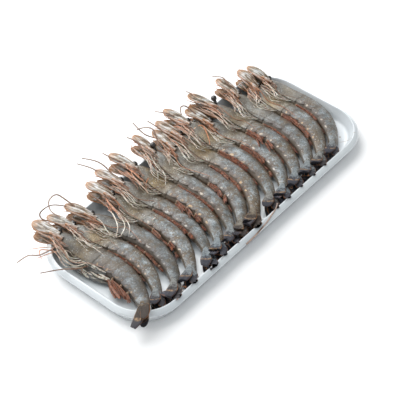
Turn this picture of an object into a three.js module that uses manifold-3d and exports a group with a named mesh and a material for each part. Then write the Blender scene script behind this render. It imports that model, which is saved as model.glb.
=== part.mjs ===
// A white glazed serving dish with a row of whole raw prawns, laid side by side on their right sides.
// Lengths are in millimetres. X runs along the dish, Y runs across it towards the heads, and Z is up.
// The origin is the middle of the dish's flat underside.

import * as THREE from "three";
import { mergeVertices } from "three/addons/utils/BufferGeometryUtils.js";
import Module from "manifold-3d";

const wasm = await Module();
wasm.setup();

// The dish, measured over its rim.
const DISH_LENGTH = 360;
const DISH_WIDTH = 154;
const DISH_CORNER = 45;
const DISH_HEIGHT = 17.3;
const DISH_FLOOR = 4;
const RIM_WIDTH = 5.8;
const FOOT_INSET = 6.2;
const CORNER_STEPS = 5;

// A prawn pulled straight: distances from the tip of its head to the tip of its tail fan.
const PRAWN_LENGTH = 178;
const BROW = 30;
const NECK = 74;
const TAIL_ROOT = 154;
const SHIELD_RINGS = [BROW, 38, 52, NECK - 0.4];
const SEGMENT_SHARES = [0.14, 0.15, 0.16, 0.15, 0.14, 0.26];
const SHELL_SIDES = 7;
const SHELL_OVERLAP = 0.4;

// Distance along a straight prawn, then a measure of its body there.
const BACK_HEIGHT = [
  [BROW, 4.4], [38, 8.4], [52, 11.8], [NECK, 13.2],
  [104, 12.6], [130, 9.4], [TAIL_ROOT, 5.2],
];
const BELLY_DEPTH = [
  [BROW, 4.4], [38, 9.2], [52, 13.4], [68, 14],
  [84, 13], [112, 11.2], [135, 7.6], [TAIL_ROOT, 4.8],
];
const HALF_THICKNESS = [
  [BROW, 3.6], [38, 6], [52, 7.8], [NECK, 8.4],
  [104, 7.8], [130, 5.8], [TAIL_ROOT, 3.4],
];

// Limbs and blades of a straight prawn. A place is along the body, towards the back and sideways.
const BLADE_THICKNESS = 1.2;
const SPIKE_ROOT = 43;
const SPIKE_TIP = 5;
const SPIKE_TEETH = 3;
const TOOTH_HEIGHT = 1.8;
const EYE_RADIUS = 3.1;
const EYE_PLACE = [BROW - 0.5, 4.6, 4.2];
const SCALE_LENGTH = 27;
const SCALE_WIDTH = 8;
const SCALE_SLOPE = 40; // degrees that each blade slopes outward and down
const SCALE_PLACE = [BROW + 1.5, -1.8, 3.6];
const LEG_RADIUS = 0.95;
const LEG_SHEAF_LENGTH = 42;
const LEG_SHEAF_WIDTH = 8.5;
const LEG_SHEAF_PLACE = [NECK - 6, -9.5, 3.2];
const FEELER_RADIUS = 0.75;
const FEELER_STEPS = 6;
const SWIMMER_COUNT = 5;
const SWIMMER_LENGTH = 13;
const SWIMMER_RADIUS = 3;
const SWIMMER_SLANT = 56; // degrees from straight down towards the tail
const TELSON_LENGTH = 23;
const FAN_BLADE_LENGTH = 28;
const FAN_BLADE_WIDTH = 12.5;
const FAN_SLOPE = 40; // degrees that each side blade slopes outward and down
const FAN_SPLAY = 9; // degrees between each side blade and the middle line
const FAN_PLACE = [TAIL_ROOT - 4, -1.5, 2];

// How the prawns lie in the dish.
const GAP = 0.35;
const GAP_PUSH = 0.5; // distance a corner moves out so that every face moves out by the gap
const USUAL_SPACING = 24;
const USUAL_ROLL = 13; // degrees that the belly side is raised over the next back
const ROLL_PER_MM = 1.8; // more degrees for each millimetre closer than usual
const FLAT_ROLL = 4; // of the first prawn, which has no neighbour to lean on
const LARGEST_ROLL = 24;
const HEAD_CLIMB = 50; // distance over which a head rises to the rim
const TAIL_CLIMB = 30; // the same for a tail that lies over the near rim
const TAIL_LEAN = 20; // distance over which each other tail rises against the near wall
const TAIL_LEAN_SHARE = 0.35; // of the rim's height above the floor

// For each prawn: where its middle crosses Y = 0, the tip of its head, the tip of its tail fan,
// the angle in degrees that the tail has turned to, any long feelers that stand clear, and whether
// the tail lies over the rim.
const ROW = [
  {
    middle: -141, head: [-157, 93], tail: [-184, -69], turn: 80, overRim: true,
    feelers: [
      [[-152, 48, 18], [-161, 53, 23], [-179, 58, 23], [-187, 67, 22], [-199, 70, 20]],
      [[-150, 20, 12], [-166, 21, 19], [-178, 31, 21], [-194, 44, 20]],
    ],
  },
  {
    middle: -119, head: [-142, 88], tail: [-151, -66], turn: 50,
    feelers: [
      [[-135, 56, 21], [-141, 76, 24], [-148, 86, 28], [-144, 92, 30], [-131, 90, 31], [-121, 79, 29]],
    ],
  },
  {
    middle: -96, head: [-121, 85], tail: [-134, -70], turn: 60,
    feelers: [
      [[-113, 54, 21], [-116, 84, 30], [-119, 95, 33], [-129, 95, 32], [-136, 86, 30], [-136, 74, 29]],
    ],
  },
  { middle: -72, head: [-84, 90], tail: [-113, -71], turn: 58, feelers: [] },
  {
    middle: -52, head: [-66, 95], tail: [-82, -71], turn: 50,
    feelers: [
      [[-62, 60, 21], [-65, 80, 25], [-66, 96, 28], [-71, 113, 28]],
      [[-60, 60, 21], [-56, 93, 29], [-62, 115, 28]],
    ],
  },
  { middle: -30, head: [-40, 100], tail: [-68, -71], turn: 52, feelers: [] },
  { middle: -12, head: [-4, 100], tail: [-47, -70], turn: 52, feelers: [] },
  {
    middle: 11, head: [15, 90], tail: [-35, -70], turn: 52,
    feelers: [[[13, 58, 21], [11, 76, 25], [5, 90, 28], [10, 111, 28]]],
  },
  { middle: 31, head: [26, 96], tail: [-16, -70], turn: 56, feelers: [] },
  { middle: 51, head: [45, 102], tail: [13, -70], turn: 56, feelers: [] },
  { middle: 74, head: [61, 85], tail: [32, -71], turn: 54, feelers: [] },
  { middle: 94, head: [80, 98], tail: [52, -70], turn: 58, feelers: [] },
  { middle: 116, head: [119, 91], tail: [73, -70], turn: 58, feelers: [] },
  { middle: 140, head: [145, 83], tail: [92, -70], turn: 58, feelers: [] },
  { middle: 161, head: [156, 79], tail: [114, -69], turn: 60, feelers: [] },
];

const PORCELAIN = { color: 0xe6eaed, roughness: 0.25, metalness: 0 };
const RAW_SHELL = { color: 0x868a86, roughness: 0.3, metalness: 0 };

// Closed solids

// The geometry with its shared corners joined, moved out by a distance, without flattened triangles.
function joinedCorners(geometry, outward) {
  const bare = geometry.clone();
  bare.deleteAttribute("normal");
  bare.deleteAttribute("uv");
  const joined = mergeVertices(bare, 1e-4);
  if (outward > 0) {
    joined.computeVertexNormals();
    const corners = joined.attributes.position;
    const normals = joined.attributes.normal;
    for (let i = 0; i < corners.count; i += 1) {
      corners.setXYZ(
        i,
        corners.getX(i) + outward * normals.getX(i),
        corners.getY(i) + outward * normals.getY(i),
        corners.getZ(i) + outward * normals.getZ(i),
      );
    }
  }
  return joined;
}

function solidOf(geometry, outward = 0) {
  const joined = joinedCorners(geometry, outward);
  const triangles = [];
  for (let i = 0; i < joined.index.count; i += 3) {
    const [a, b, c] = joined.index.array.slice(i, i + 3);
    if (a !== b && b !== c && c !== a) triangles.push(a, b, c);
  }
  const mesh = new wasm.Mesh({
    numProp: 3,
    vertProperties: new Float32Array(joined.attributes.position.array),
    triVerts: new Uint32Array(triangles),
  });
  return new wasm.Manifold(mesh);
}

function unionOf(geometries, outward = 0) {
  return geometries.map((geometry) => solidOf(geometry, outward)).reduce((whole, piece) => whole.add(piece));
}

function largestBody(solid) {
  return solid.decompose().reduce((best, body) => (body.volume() > best.volume() ? body : best));
}

function geometryOf(solid) {
  const mesh = solid.getMesh();
  return new THREE.BufferGeometry()
    .setAttribute("position", new THREE.BufferAttribute(mesh.vertProperties, 3))
    .setIndex(new THREE.BufferAttribute(mesh.triVerts, 1));
}

function namedMesh(name, solid, finish) {
  const geometry = geometryOf(solid);
  geometry.computeVertexNormals();
  const mesh = new THREE.Mesh(geometry, new THREE.MeshStandardMaterial(finish));
  mesh.name = name;
  return mesh;
}

// Moves every corner of a geometry to where a function says.
function reshaped(geometry, place) {
  const corners = geometry.attributes.position;
  for (let i = 0; i < corners.count; i += 1) {
    const moved = place(new THREE.Vector3().fromBufferAttribute(corners, i));
    corners.setXYZ(i, moved.x, moved.y, moved.z);
  }
  return geometry;
}

// Dish

// The dish's section from the middle of its underside to the middle of its floor: how far in from
// the outline, and the height. The first and last points lie on the middle line.
function dishSection() {
  const rimMiddle = RIM_WIDTH / 2;
  const wall = [
    [FOOT_INSET, 0],
    [1, DISH_HEIGHT - 4.3],
    [0, DISH_HEIGHT - 2.4],
    [0.9, DISH_HEIGHT - 0.6],
    [rimMiddle, DISH_HEIGHT],
    [RIM_WIDTH - 0.9, DISH_HEIGHT - 0.6],
    [RIM_WIDTH, DISH_HEIGHT - 2.2],
    [RIM_WIDTH + 3, DISH_FLOOR + 3.4],
    [RIM_WIDTH + 9, DISH_FLOOR],
  ];
  const profile = wall.map(([inset, height]) => new THREE.Vector2(DISH_CORNER - inset, height));
  return [new THREE.Vector2(0, 0), ...profile, new THREE.Vector2(0, DISH_FLOOR)];
}

// A round dish turned on a lathe, whose four quarters are then moved apart to the corners.
function dishGeometry() {
  const sides = 4 * (CORNER_STEPS + 1);
  const turned = new THREE.LatheGeometry(dishSection(), sides);
  const sideways = DISH_LENGTH / 2 - DISH_CORNER;
  const across = DISH_WIDTH / 2 - DISH_CORNER;
  const upright = reshaped(turned, (corner) => {
    const radius = Math.hypot(corner.x, corner.z);
    if (radius < 1e-6) return new THREE.Vector3(0, 0, corner.y);
    const around = Math.atan2(corner.x, corner.z) / (2 * Math.PI);
    const step = ((Math.round(around * sides) % sides) + sides) % sides;
    const quarter = Math.floor(step / (CORNER_STEPS + 1));
    const angle = ((step % (CORNER_STEPS + 1)) / CORNER_STEPS + quarter) * (Math.PI / 2);
    const right = quarter === 0 || quarter === 3 ? 1 : -1;
    const far = quarter < 2 ? 1 : -1;
    return new THREE.Vector3(
      right * sideways + radius * Math.cos(angle),
      far * across + radius * Math.sin(angle),
      corner.y,
    );
  });
  return upright;
}

// Half the dish's width at a place along its length.
function halfWidthAt(x) {
  const intoCorner = Math.max(0, Math.abs(x) - (DISH_LENGTH / 2 - DISH_CORNER));
  const reach = Math.sqrt(Math.max(0, DISH_CORNER ** 2 - intoCorner ** 2));
  return DISH_WIDTH / 2 - DISH_CORNER + reach;
}

// Straight prawn
// X runs from the head to the tail, Y towards the back and Z towards the prawn's left side.

// The measure at a distance, from a list of distances and measures.
function measureAt(list, distance) {
  if (distance <= list[0][0]) return list[0][1];
  const next = list.findIndex(([place]) => place >= distance);
  if (next < 0) return list[list.length - 1][1];
  const [[from, before], [to, after]] = [list[next - 1], list[next]];
  return THREE.MathUtils.mapLinear(distance, from, to, before, after);
}

// The rings of corners along the body: where each is, and how much fuller or tighter than the list.
// Every part of the shell ends in a fuller edge that lies over the start of the next.
function shellRings() {
  const rings = SHIELD_RINGS.map((place) => ({ place, fullness: 1 }));
  let from = NECK;
  for (const share of SEGMENT_SHARES) {
    const to = from + share * (TAIL_ROOT - NECK);
    rings.push({ place: from, fullness: 0.95 });
    rings.push({ place: to - SHELL_OVERLAP, fullness: 1.02 });
    from = to;
  }
  return rings;
}

function shellGeometry() {
  const rings = shellRings();
  const tube = new THREE.CylinderGeometry(1, 1, 1, SHELL_SIDES, rings.length - 1);
  return reshaped(tube, (corner) => {
    const ring = rings[Math.round((corner.y + 0.5) * (rings.length - 1))];
    const upDown = corner.z >= 0 ? BACK_HEIGHT : BELLY_DEPTH;
    return new THREE.Vector3(
      ring.place,
      corner.z * measureAt(upDown, ring.place) * ring.fullness,
      corner.x * measureAt(HALF_THICKNESS, ring.place) * ring.fullness,
    );
  });
}

// The toothed spike over the head, a thin upright blade that narrows to its tip.
function spikeGeometry() {
  const rootHeight = measureAt(BACK_HEIGHT, SPIKE_ROOT) - 1.5;
  const tipHeight = 6.3;
  const outline = new THREE.Shape();
  outline.moveTo(SPIKE_ROOT, rootHeight);
  for (let tooth = 1; tooth <= SPIKE_TEETH; tooth += 1) {
    const share = tooth / (SPIKE_TEETH + 1);
    const along = THREE.MathUtils.lerp(SPIKE_ROOT, SPIKE_TIP, share);
    const height = THREE.MathUtils.lerp(rootHeight + 1.6, tipHeight, share);
    outline.lineTo(along, height + TOOTH_HEIGHT);
    outline.lineTo(along - 1, height);
  }
  outline.lineTo(SPIKE_TIP, tipHeight);
  outline.lineTo(BROW - 8, 3);
  outline.lineTo(BROW + 4, 1);
  const blade = new THREE.ExtrudeGeometry(outline, { depth: BLADE_THICKNESS, bevelEnabled: false });
  return blade.translate(0, 0, -BLADE_THICKNESS / 2);
}

// A leaf-shaped blade from the origin along +X, lying in the XY plane and centred on it.
function leafGeometry(length, width) {
  const bulge = width * 0.61;
  const nearRoot = length * 0.35;
  const nearTip = length * 0.85;
  const outline = new THREE.Shape();
  outline.moveTo(0, -width * 0.2);
  outline.bezierCurveTo(nearRoot, -bulge, nearTip, -bulge, length, 0);
  outline.bezierCurveTo(nearTip, bulge, nearRoot, bulge, 0, width * 0.2);
  const blade = new THREE.ExtrudeGeometry(outline, {
    depth: BLADE_THICKNESS,
    bevelEnabled: false,
    curveSegments: 2,
  });
  return blade.translate(0, 0, -BLADE_THICKNESS / 2);
}

// A thin three-sided rod that follows a line of points.
function tubeGeometry(points, radius, steps) {
  const corners = [0, 1, 2].map((corner) => {
    const angle = (corner * 2 * Math.PI) / 3;
    return new THREE.Vector2(radius * Math.cos(angle), radius * Math.sin(angle));
  });
  const route = new THREE.CatmullRomCurve3(points.map((point) => new THREE.Vector3(...point)));
  return new THREE.ExtrudeGeometry(new THREE.Shape(corners), { steps, extrudePath: route });
}

// The pair of blades that reach forward beside the spike.
function scaleGeometries() {
  const [along, up, aside] = SCALE_PLACE;
  const slope = THREE.MathUtils.degToRad(SCALE_SLOPE);
  return [1, -1].map((side) =>
    leafGeometry(SCALE_LENGTH, SCALE_WIDTH)
      .rotateZ(Math.PI)
      .rotateX(-side * slope)
      .translate(along, up, side * aside),
  );
}

function eyeGeometries() {
  const [along, up, aside] = EYE_PLACE;
  return [1, -1].map((side) => new THREE.OctahedronGeometry(EYE_RADIUS).translate(along, up, side * aside));
}

// The walking legs of the upper side, folded forward beside the belly: a sheaf that lies together
// as one blade, and the front leg, which stands clear of it by a small spread.
function legGeometries(spread) {
  const sheaf = leafGeometry(LEG_SHEAF_LENGTH, LEG_SHEAF_WIDTH)
    .scale(1, 1, 1.6)
    .rotateZ(Math.PI + 0.12)
    .rotateX(-0.25)
    .translate(...LEG_SHEAF_PLACE);
  const frontLeg = [
    [46, -6, 2],
    [38, -15 - spread, 5.6],
    [24, -17 - spread, 7],
    [10, -9, 6.5],
  ];
  return [sheaf, tubeGeometry(frontLeg, LEG_RADIUS, 4)];
}

// The flat swimming limbs under the first five rings of the tail, folded back along the belly.
// Each is a little shorter than the one in front.
function swimmerGeometries() {
  let root = NECK;
  return SEGMENT_SHARES.slice(0, SWIMMER_COUNT).map((share, limb) => {
    root += share * (TAIL_ROOT - NECK);
    const length = SWIMMER_LENGTH - limb;
    const sunk = measureAt(BELLY_DEPTH, root) - 4;
    return new THREE.ConeGeometry(SWIMMER_RADIUS, length, 3, 1)
      .scale(1, 1, 0.6)
      .rotateZ(Math.PI / 2 + THREE.MathUtils.degToRad(SWIMMER_SLANT))
      .rotateX(-0.35)
      .translate(root - 1 + length * 0.28, -sunk - length * 0.4, 2.4);
  });
}

// The middle spike of the tail and the pair of blades beside it.
function fanGeometries() {
  const [along, up, aside] = FAN_PLACE;
  const slope = THREE.MathUtils.degToRad(FAN_SLOPE);
  const splay = THREE.MathUtils.degToRad(FAN_SPLAY);
  const telson = new THREE.ConeGeometry(3, TELSON_LENGTH, 3, 1)
    .scale(1, 1, 0.7)
    .rotateZ(-Math.PI / 2)
    .translate(along + TELSON_LENGTH / 2, 1, 0);
  const blades = [1, -1].map((side) =>
    leafGeometry(FAN_BLADE_LENGTH, FAN_BLADE_WIDTH)
      .rotateX(side * slope)
      .rotateY(-side * splay)
      .rotateZ(-0.06)
      .translate(along, up, side * aside),
  );
  return [telson, ...blades];
}

function straightPrawn(spread) {
  return [
    shellGeometry(),
    ...scaleGeometries(),
    ...fanGeometries(),
    spikeGeometry(),
    ...eyeGeometries(),
    ...swimmerGeometries(),
    ...legGeometries(spread),
  ];
}

// Row of prawns

// The line that a prawn's middle follows over the dish, from head to tail, seen from above.
function routeOf({ middle, head, tail, turn }) {
  const angle = THREE.MathUtils.degToRad(turn);
  const waist = new THREE.Vector3(middle, 0, 0);
  const headTip = new THREE.Vector3(head[0], head[1], 0);
  const tailTip = new THREE.Vector3(tail[0], tail[1], 0);
  const reach = waist.distanceTo(tailTip);
  const towardTail = new THREE.Vector3(-Math.sin(angle), -Math.cos(angle), 0);
  const route = new THREE.CurvePath();
  route.add(
    new THREE.CubicBezierCurve3(
      headTip,
      headTip.clone().lerp(waist, 0.35),
      new THREE.Vector3(middle, head[1] * 0.4, 0),
      waist,
    ),
  );
  route.add(
    new THREE.CubicBezierCurve3(
      waist,
      new THREE.Vector3(middle, -reach * 0.45, 0),
      tailTip.clone().addScaledVector(towardTail, -reach * 0.32),
      tailTip,
    ),
  );
  return route;
}

// How far a prawn's middle must be above what it lies on, at a distance along it.
function restingHeight(distance, roll) {
  const back = measureAt(BACK_HEIGHT, distance) * Math.sin(roll);
  const side = measureAt(HALF_THICKNESS, distance) * Math.cos(roll);
  return Math.hypot(back, side) + GAP + 0.2;
}

// A function that takes a corner of the straight prawn to its place in the dish.
function bendingOf(prawn, roll) {
  const route = routeOf(prawn);
  const size = route.getLength() / PRAWN_LENGTH;
  const climb = DISH_HEIGHT - DISH_FLOOR;
  const tailRun = prawn.overRim ? TAIL_CLIMB : TAIL_LEAN;
  const tailShare = prawn.overRim ? 1 : TAIL_LEAN_SHARE;
  const middleAt = (distance) => {
    const share = THREE.MathUtils.clamp(distance / PRAWN_LENGTH, 0, 1);
    const point = route.getPointAt(share);
    const rim = halfWidthAt(point.x);
    const overFarRim = THREE.MathUtils.smoothstep(point.y, rim - HEAD_CLIMB, rim - 4);
    const tailRise = tailShare * THREE.MathUtils.smoothstep(-point.y, rim - tailRun, rim - 5);
    point.z = DISH_FLOOR + size * restingHeight(distance, roll) + climb * Math.max(overFarRim, tailRise);
    return point;
  };
  const up = new THREE.Vector3(0, 0, 1);
  return (corner) => {
    const middle = middleAt(corner.x);
    const along = middleAt(corner.x + 3).sub(middleAt(corner.x - 3)).normalize();
    const backward = new THREE.Vector3().crossVectors(up, along).normalize();
    const sideways = new THREE.Vector3().crossVectors(along, backward);
    const back = backward.clone().multiplyScalar(Math.cos(roll)).addScaledVector(sideways, -Math.sin(roll));
    const left = sideways.clone().multiplyScalar(Math.cos(roll)).addScaledVector(backward, Math.sin(roll));
    return middle.addScaledVector(back, corner.y * size).addScaledVector(left, corner.z * size);
  };
}

function rollOf(index) {
  if (index === 0) return THREE.MathUtils.degToRad(FLAT_ROLL);
  const spacing = ROW[index].middle - ROW[index - 1].middle;
  const degrees = USUAL_ROLL + ROLL_PER_MM * (USUAL_SPACING - spacing);
  return THREE.MathUtils.degToRad(THREE.MathUtils.clamp(degrees, USUAL_ROLL, LARGEST_ROLL));
}

function prawnGeometries(index) {
  const prawn = ROW[index];
  const bending = bendingOf(prawn, rollOf(index));
  const spread = THREE.MathUtils.seededRandom() * 2;
  const pieces = straightPrawn(spread).map((piece) => reshaped(piece, bending));
  const feelers = prawn.feelers.map((points) => tubeGeometry(points, FEELER_RADIUS, FEELER_STEPS));
  return [...pieces, ...feelers];
}

// Each prawn gives way to the dish and to the three before it, which it leans on or touches.
function prawnSolids(dish) {
  THREE.MathUtils.seededRandom(15);
  const dishRoom = solidOf(dish, GAP_PUSH);
  const rooms = [];
  return ROW.map((_, index) => {
    const pieces = prawnGeometries(index);
    const neighbours = rooms.slice(-3);
    rooms.push(unionOf(pieces, GAP_PUSH));
    const free = neighbours.reduce((rest, room) => rest.subtract(room), unionOf(pieces).subtract(dishRoom));
    return largestBody(free);
  });
}

const dish = dishGeometry();
const platter = new THREE.Group();
platter.add(namedMesh("dish", solidOf(dish), PORCELAIN));
prawnSolids(dish).forEach((solid, index) => {
  const name = "prawn_" + String(index + 1).padStart(2, "0");
  platter.add(namedMesh(name, solid, RAW_SHELL));
});

export default platter;
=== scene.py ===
# A white glazed serving dish with a row of whole raw prawns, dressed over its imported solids.
# X runs along the dish, Y across it towards the heads, and Z is up. Lengths are in millimetres until
# a piece is finished, when it is brought to metres.

import math
import random
from functools import partial

import bmesh
import bpy
from mathutils import Matrix, Vector, noise
from mathutils.bvhtree import BVHTree


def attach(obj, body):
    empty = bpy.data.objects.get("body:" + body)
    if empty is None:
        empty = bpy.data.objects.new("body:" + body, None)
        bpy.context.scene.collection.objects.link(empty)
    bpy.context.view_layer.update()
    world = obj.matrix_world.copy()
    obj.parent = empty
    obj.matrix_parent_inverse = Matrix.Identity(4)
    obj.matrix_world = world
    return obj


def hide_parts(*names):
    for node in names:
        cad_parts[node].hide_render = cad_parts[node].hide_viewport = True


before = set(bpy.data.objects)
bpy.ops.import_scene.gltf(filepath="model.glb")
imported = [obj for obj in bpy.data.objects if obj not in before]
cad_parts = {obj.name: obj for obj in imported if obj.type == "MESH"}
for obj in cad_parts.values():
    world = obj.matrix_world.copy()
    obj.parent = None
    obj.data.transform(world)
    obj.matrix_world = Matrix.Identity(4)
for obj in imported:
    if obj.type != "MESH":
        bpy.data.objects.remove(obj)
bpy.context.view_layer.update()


# Dish
# An oblong stoneware dish with rounded corners, pressed in a mould and dipped in white glaze.
# It has a flat foot, a leaning wall and a plump rounded rim. A few specks and one hairline crack
# show in the glaze.

MM = 0.001
SHARP_ANGLE = math.radians(75)
DISH_LENGTH = 360
DISH_WIDTH = 154
DISH_CORNER = 45
DISH_HEIGHT = 17.3
DISH_FLOOR = 4
RIM_WIDTH = 5.8
DISH_CORNER_STEPS = 14
# The section from the foot over the rim to the floor: how far in from the outline, and the height.
DISH_SECTION = [
    (6.9, 0), (6.2, 0.3), (5.6, 1.2), (1.1, DISH_HEIGHT - 6.6), (0.4, DISH_HEIGHT - 5.6),
    (0, DISH_HEIGHT - 4.7), (0.2, DISH_HEIGHT - 3.9), (0.9, DISH_HEIGHT - 3), (1.8, DISH_HEIGHT - 2.1),
    (2.8, DISH_HEIGHT - 1.3), (3.8, DISH_HEIGHT - 0.6), (4.6, DISH_HEIGHT - 0.12), (5.1, DISH_HEIGHT),
    (5.5, DISH_HEIGHT - 0.4), (RIM_WIDTH, DISH_HEIGHT - 1.4), (8.8, DISH_FLOOR + 3.4),
    (10.2, DISH_FLOOR + 1.6), (12.2, DISH_FLOOR + 0.5), (14.8, DISH_FLOOR),
]
# In metres: what brings the turned crack's middle to the origin, and how far it wavers.
CRACK_SHIFT = (-0.1506, -0.0636, 0)
CRACK_WAVER = 0.003


def finished(name, bm, material):
    """Makes the piece from a mesh in millimetres, riding on the one body."""
    bmesh.ops.scale(bm, vec=(MM, MM, MM), verts=bm.verts)
    mesh = bpy.data.meshes.new(name)
    bm.to_mesh(mesh)
    bm.free()
    mesh.materials.append(material)
    mesh.shade_smooth()
    mesh.set_sharp_from_angle(angle=SHARP_ANGLE)
    piece = bpy.data.objects.new(name, mesh)
    bpy.context.scene.collection.objects.link(piece)
    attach(piece, "root")
    return piece


def colour(code):
    """The linear colour of an sRGB hex code."""
    parts = [int(code[start:start + 2], 16) / 255 for start in (1, 3, 5)]
    return [part / 12.92 if part <= 0.04045 else ((part + 0.055) / 1.055) ** 2.4 for part in parts] + [1]


def fill(node, inputs):
    """Links or fills a node's inputs, given in order or by name or number. A node given as an input
    stands for its own result, and a hex code for its colour."""
    for name, value in inputs.items() if isinstance(inputs, dict) else enumerate(inputs):
        if isinstance(value, bpy.types.Node):
            value = value.outputs[2 if value.bl_idname == "ShaderNodeMix" else 0]
        if isinstance(value, bpy.types.NodeSocket):
            node.id_data.links.new(value, node.inputs[name])
        else:
            node.inputs[name].default_value = colour(value) if isinstance(value, str) else value


def add(tree, kind, inputs=(), stops=(), **settings):
    """Adds a node with its settings and inputs. A MapRange takes its value, the two ends that it runs
    from and the two that it runs to. A Mix takes its share and, at 6 and 7, what lies under and over."""
    node = tree.nodes.new("ShaderNode" + kind)
    if kind == "Mix":
        node.data_type = "RGBA"
    for name, value in settings.items():
        setattr(node, name, value)
    for place, (position, code) in enumerate(stops):
        ramp = node.color_ramp.elements
        stop = ramp[place] if place < 2 else ramp.new(position)
        stop.position = position
        stop.color = colour(code)
    fill(node, inputs)
    return node


def new_finish(name, **values):
    """A material, the function that adds its nodes, and its main shader with that one's fixed values."""
    material = bpy.data.materials.new(name)
    material.use_nodes = True
    shader = material.node_tree.nodes["Principled BSDF"]
    fill(shader, {socket.replace("_", " "): value for socket, value in values.items()})
    return material, partial(add, material.node_tree), shader


def glazed_stoneware():
    """A white dipped glaze over stoneware: bright and mirror-smooth, slightly cool, with brown specks
    of grit, faint smears and one hairline crack near a corner."""
    material, node, shader = new_finish(
        "glazed_stoneware", Roughness=0.16, Coat_Weight=0.5, Coat_Roughness=0.05,
    )
    place = node("TexCoord").outputs["Object"]
    cloud = node("TexNoise", {"Vector": place, "Scale": 22, "Detail": 3})
    white = node("ValToRGB", [cloud], stops=[(0.3, "#c9cfd3"), (0.7, "#d6dbdd")])
    grit = node("TexVoronoi", {"Vector": place, "Scale": 75})
    rare = node("TexNoise", {"Vector": place, "Scale": 60, "Detail": 0})
    speck = node("MapRange", [grit, 0.05, 0.09, 1, 0])
    few = node("MapRange", [rare, 0.6, 0.66])
    specks = node("Math", [speck, few], operation="MULTIPLY")
    speckled = node("Mix", {0: specks, 6: white, 7: "#8d8478"})
    # The crack runs slantwise over the wall near the dish's near right corner.
    turned = node("Mapping", {"Vector": place, "Location": CRACK_SHIFT, "Rotation": (0, 0, math.pi / 4)})
    wobble = node("TexNoise", {"Vector": place, "Scale": 260, "Detail": 2})
    parts = node("SeparateXYZ", [turned])
    drift = node("Math", [wobble, -0.5, 0], operation="ADD")
    bend = node("Math", [drift, CRACK_WAVER, parts.outputs["Y"]], operation="MULTIPLY_ADD")
    away = node("Math", [bend], operation="ABSOLUTE")
    line = node("MapRange", [away, 0.0001, 0.0004, 1, 0])
    length = node("Math", [parts.outputs["X"]], operation="ABSOLUTE")
    ends = node("MapRange", [length, 0.007, 0.009, 1, 0])
    crack = node("Math", [line, ends], operation="MULTIPLY")
    cracked = node("Mix", {0: crack, 6: speckled, 7: "#a59a8c"})
    ripple = node("Bump", {"Height": cloud, "Strength": 0.08, "Distance": 0.001})
    fill(shader, {"Base Color": cracked, "Normal": ripple})
    return material


dish_mesh = bmesh.new()
section = [dish_mesh.verts.new((DISH_CORNER - inset, 0, height)) for inset, height in DISH_SECTION]
underside = dish_mesh.verts.new((0, 0, 0))
floor_middle = dish_mesh.verts.new((0, 0, DISH_FLOOR))
profile = [underside] + section + [floor_middle]
profile_edges = [dish_mesh.edges.new(pair) for pair in zip(profile, profile[1:])]
dish_steps = 4 * (DISH_CORNER_STEPS + 1)
bmesh.ops.spin(
    dish_mesh, geom=profile + profile_edges, cent=(0, 0, 0), axis=(0, 0, 1),
    angle=2 * math.pi, steps=dish_steps, use_merge=True,
)
bmesh.ops.remove_doubles(dish_mesh, verts=dish_mesh.verts, dist=0.001)
for corner in dish_mesh.verts:
    radius = math.hypot(corner.co.x, corner.co.y)
    if radius > 0.01:
        step = round(math.atan2(corner.co.y, corner.co.x) / (2 * math.pi) * dish_steps) % dish_steps
        quarter, part = divmod(step, DISH_CORNER_STEPS + 1)
        angle = (part / DISH_CORNER_STEPS + quarter) * math.pi / 2
        right = 1 if quarter in (0, 3) else -1
        far = 1 if quarter < 2 else -1
        corner.co.x = right * (DISH_LENGTH / 2 - DISH_CORNER) + radius * math.cos(angle)
        corner.co.y = far * (DISH_WIDTH / 2 - DISH_CORNER) + radius * math.sin(angle)
bmesh.ops.recalc_face_normals(dish_mesh, faces=dish_mesh.faces)
dish_room = BVHTree.FromBMesh(dish_mesh)
dish = finished("dish_body", dish_mesh, glazed_stoneware())
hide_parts("dish")


# Shells
# Each prawn is covered by thin wet chitin: one shield over its head and chest, then six overlapping rings
# along its tail. They are slate grey over pale flesh, olive and golden over the chest, brown along the back
# and at each ring's rear edge. Painted shade darkens the back where it slips under the next prawn, and the
# tucked belly. Tiny pale flecks are painted glints.

PRAWN_LENGTH = 178
BROW = 30
NECK = 74
TAIL_ROOT = 154
RING_SHARES = [0.14, 0.15, 0.16, 0.15, 0.14, 0.26]
# Distance along a straight prawn, then a measure of its body there.
BACK_HEIGHT = [(BROW, 4.4), (38, 8.4), (52, 11.8), (NECK, 13.2), (104, 12.6), (130, 9.4), (TAIL_ROOT, 5.2)]
BELLY_DEPTH = [
    (BROW, 4.4), (38, 9.2), (52, 13.4), (68, 14), (84, 13), (112, 11.2), (135, 7.6), (TAIL_ROOT, 4.8),
]
HALF_THICKNESS = [(BROW, 3.6), (38, 6), (52, 7.8), (NECK, 8.4), (104, 7.8), (130, 5.8), (TAIL_ROOT, 3.4)]
GAP = 0.3
CLEARANCE = 0.55
USUAL_SPACING = 24
USUAL_ROLL = 13
ROLL_PER_MM = 1.8
FLAT_ROLL = 4
LARGEST_ROLL = 24
HEAD_CLIMB = 50
TAIL_CLIMB = 30
TAIL_LEAN = 20
TAIL_LEAN_SHARE = 0.35
CURVE_STEPS = 200
# The bending table's spacing, and how far it runs past the prawn's ends.
TABLE_STEP = 0.5
TABLE_MARGIN = 6
OVER_RIM = 0  # the one prawn whose tail lies over the near rim
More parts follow.
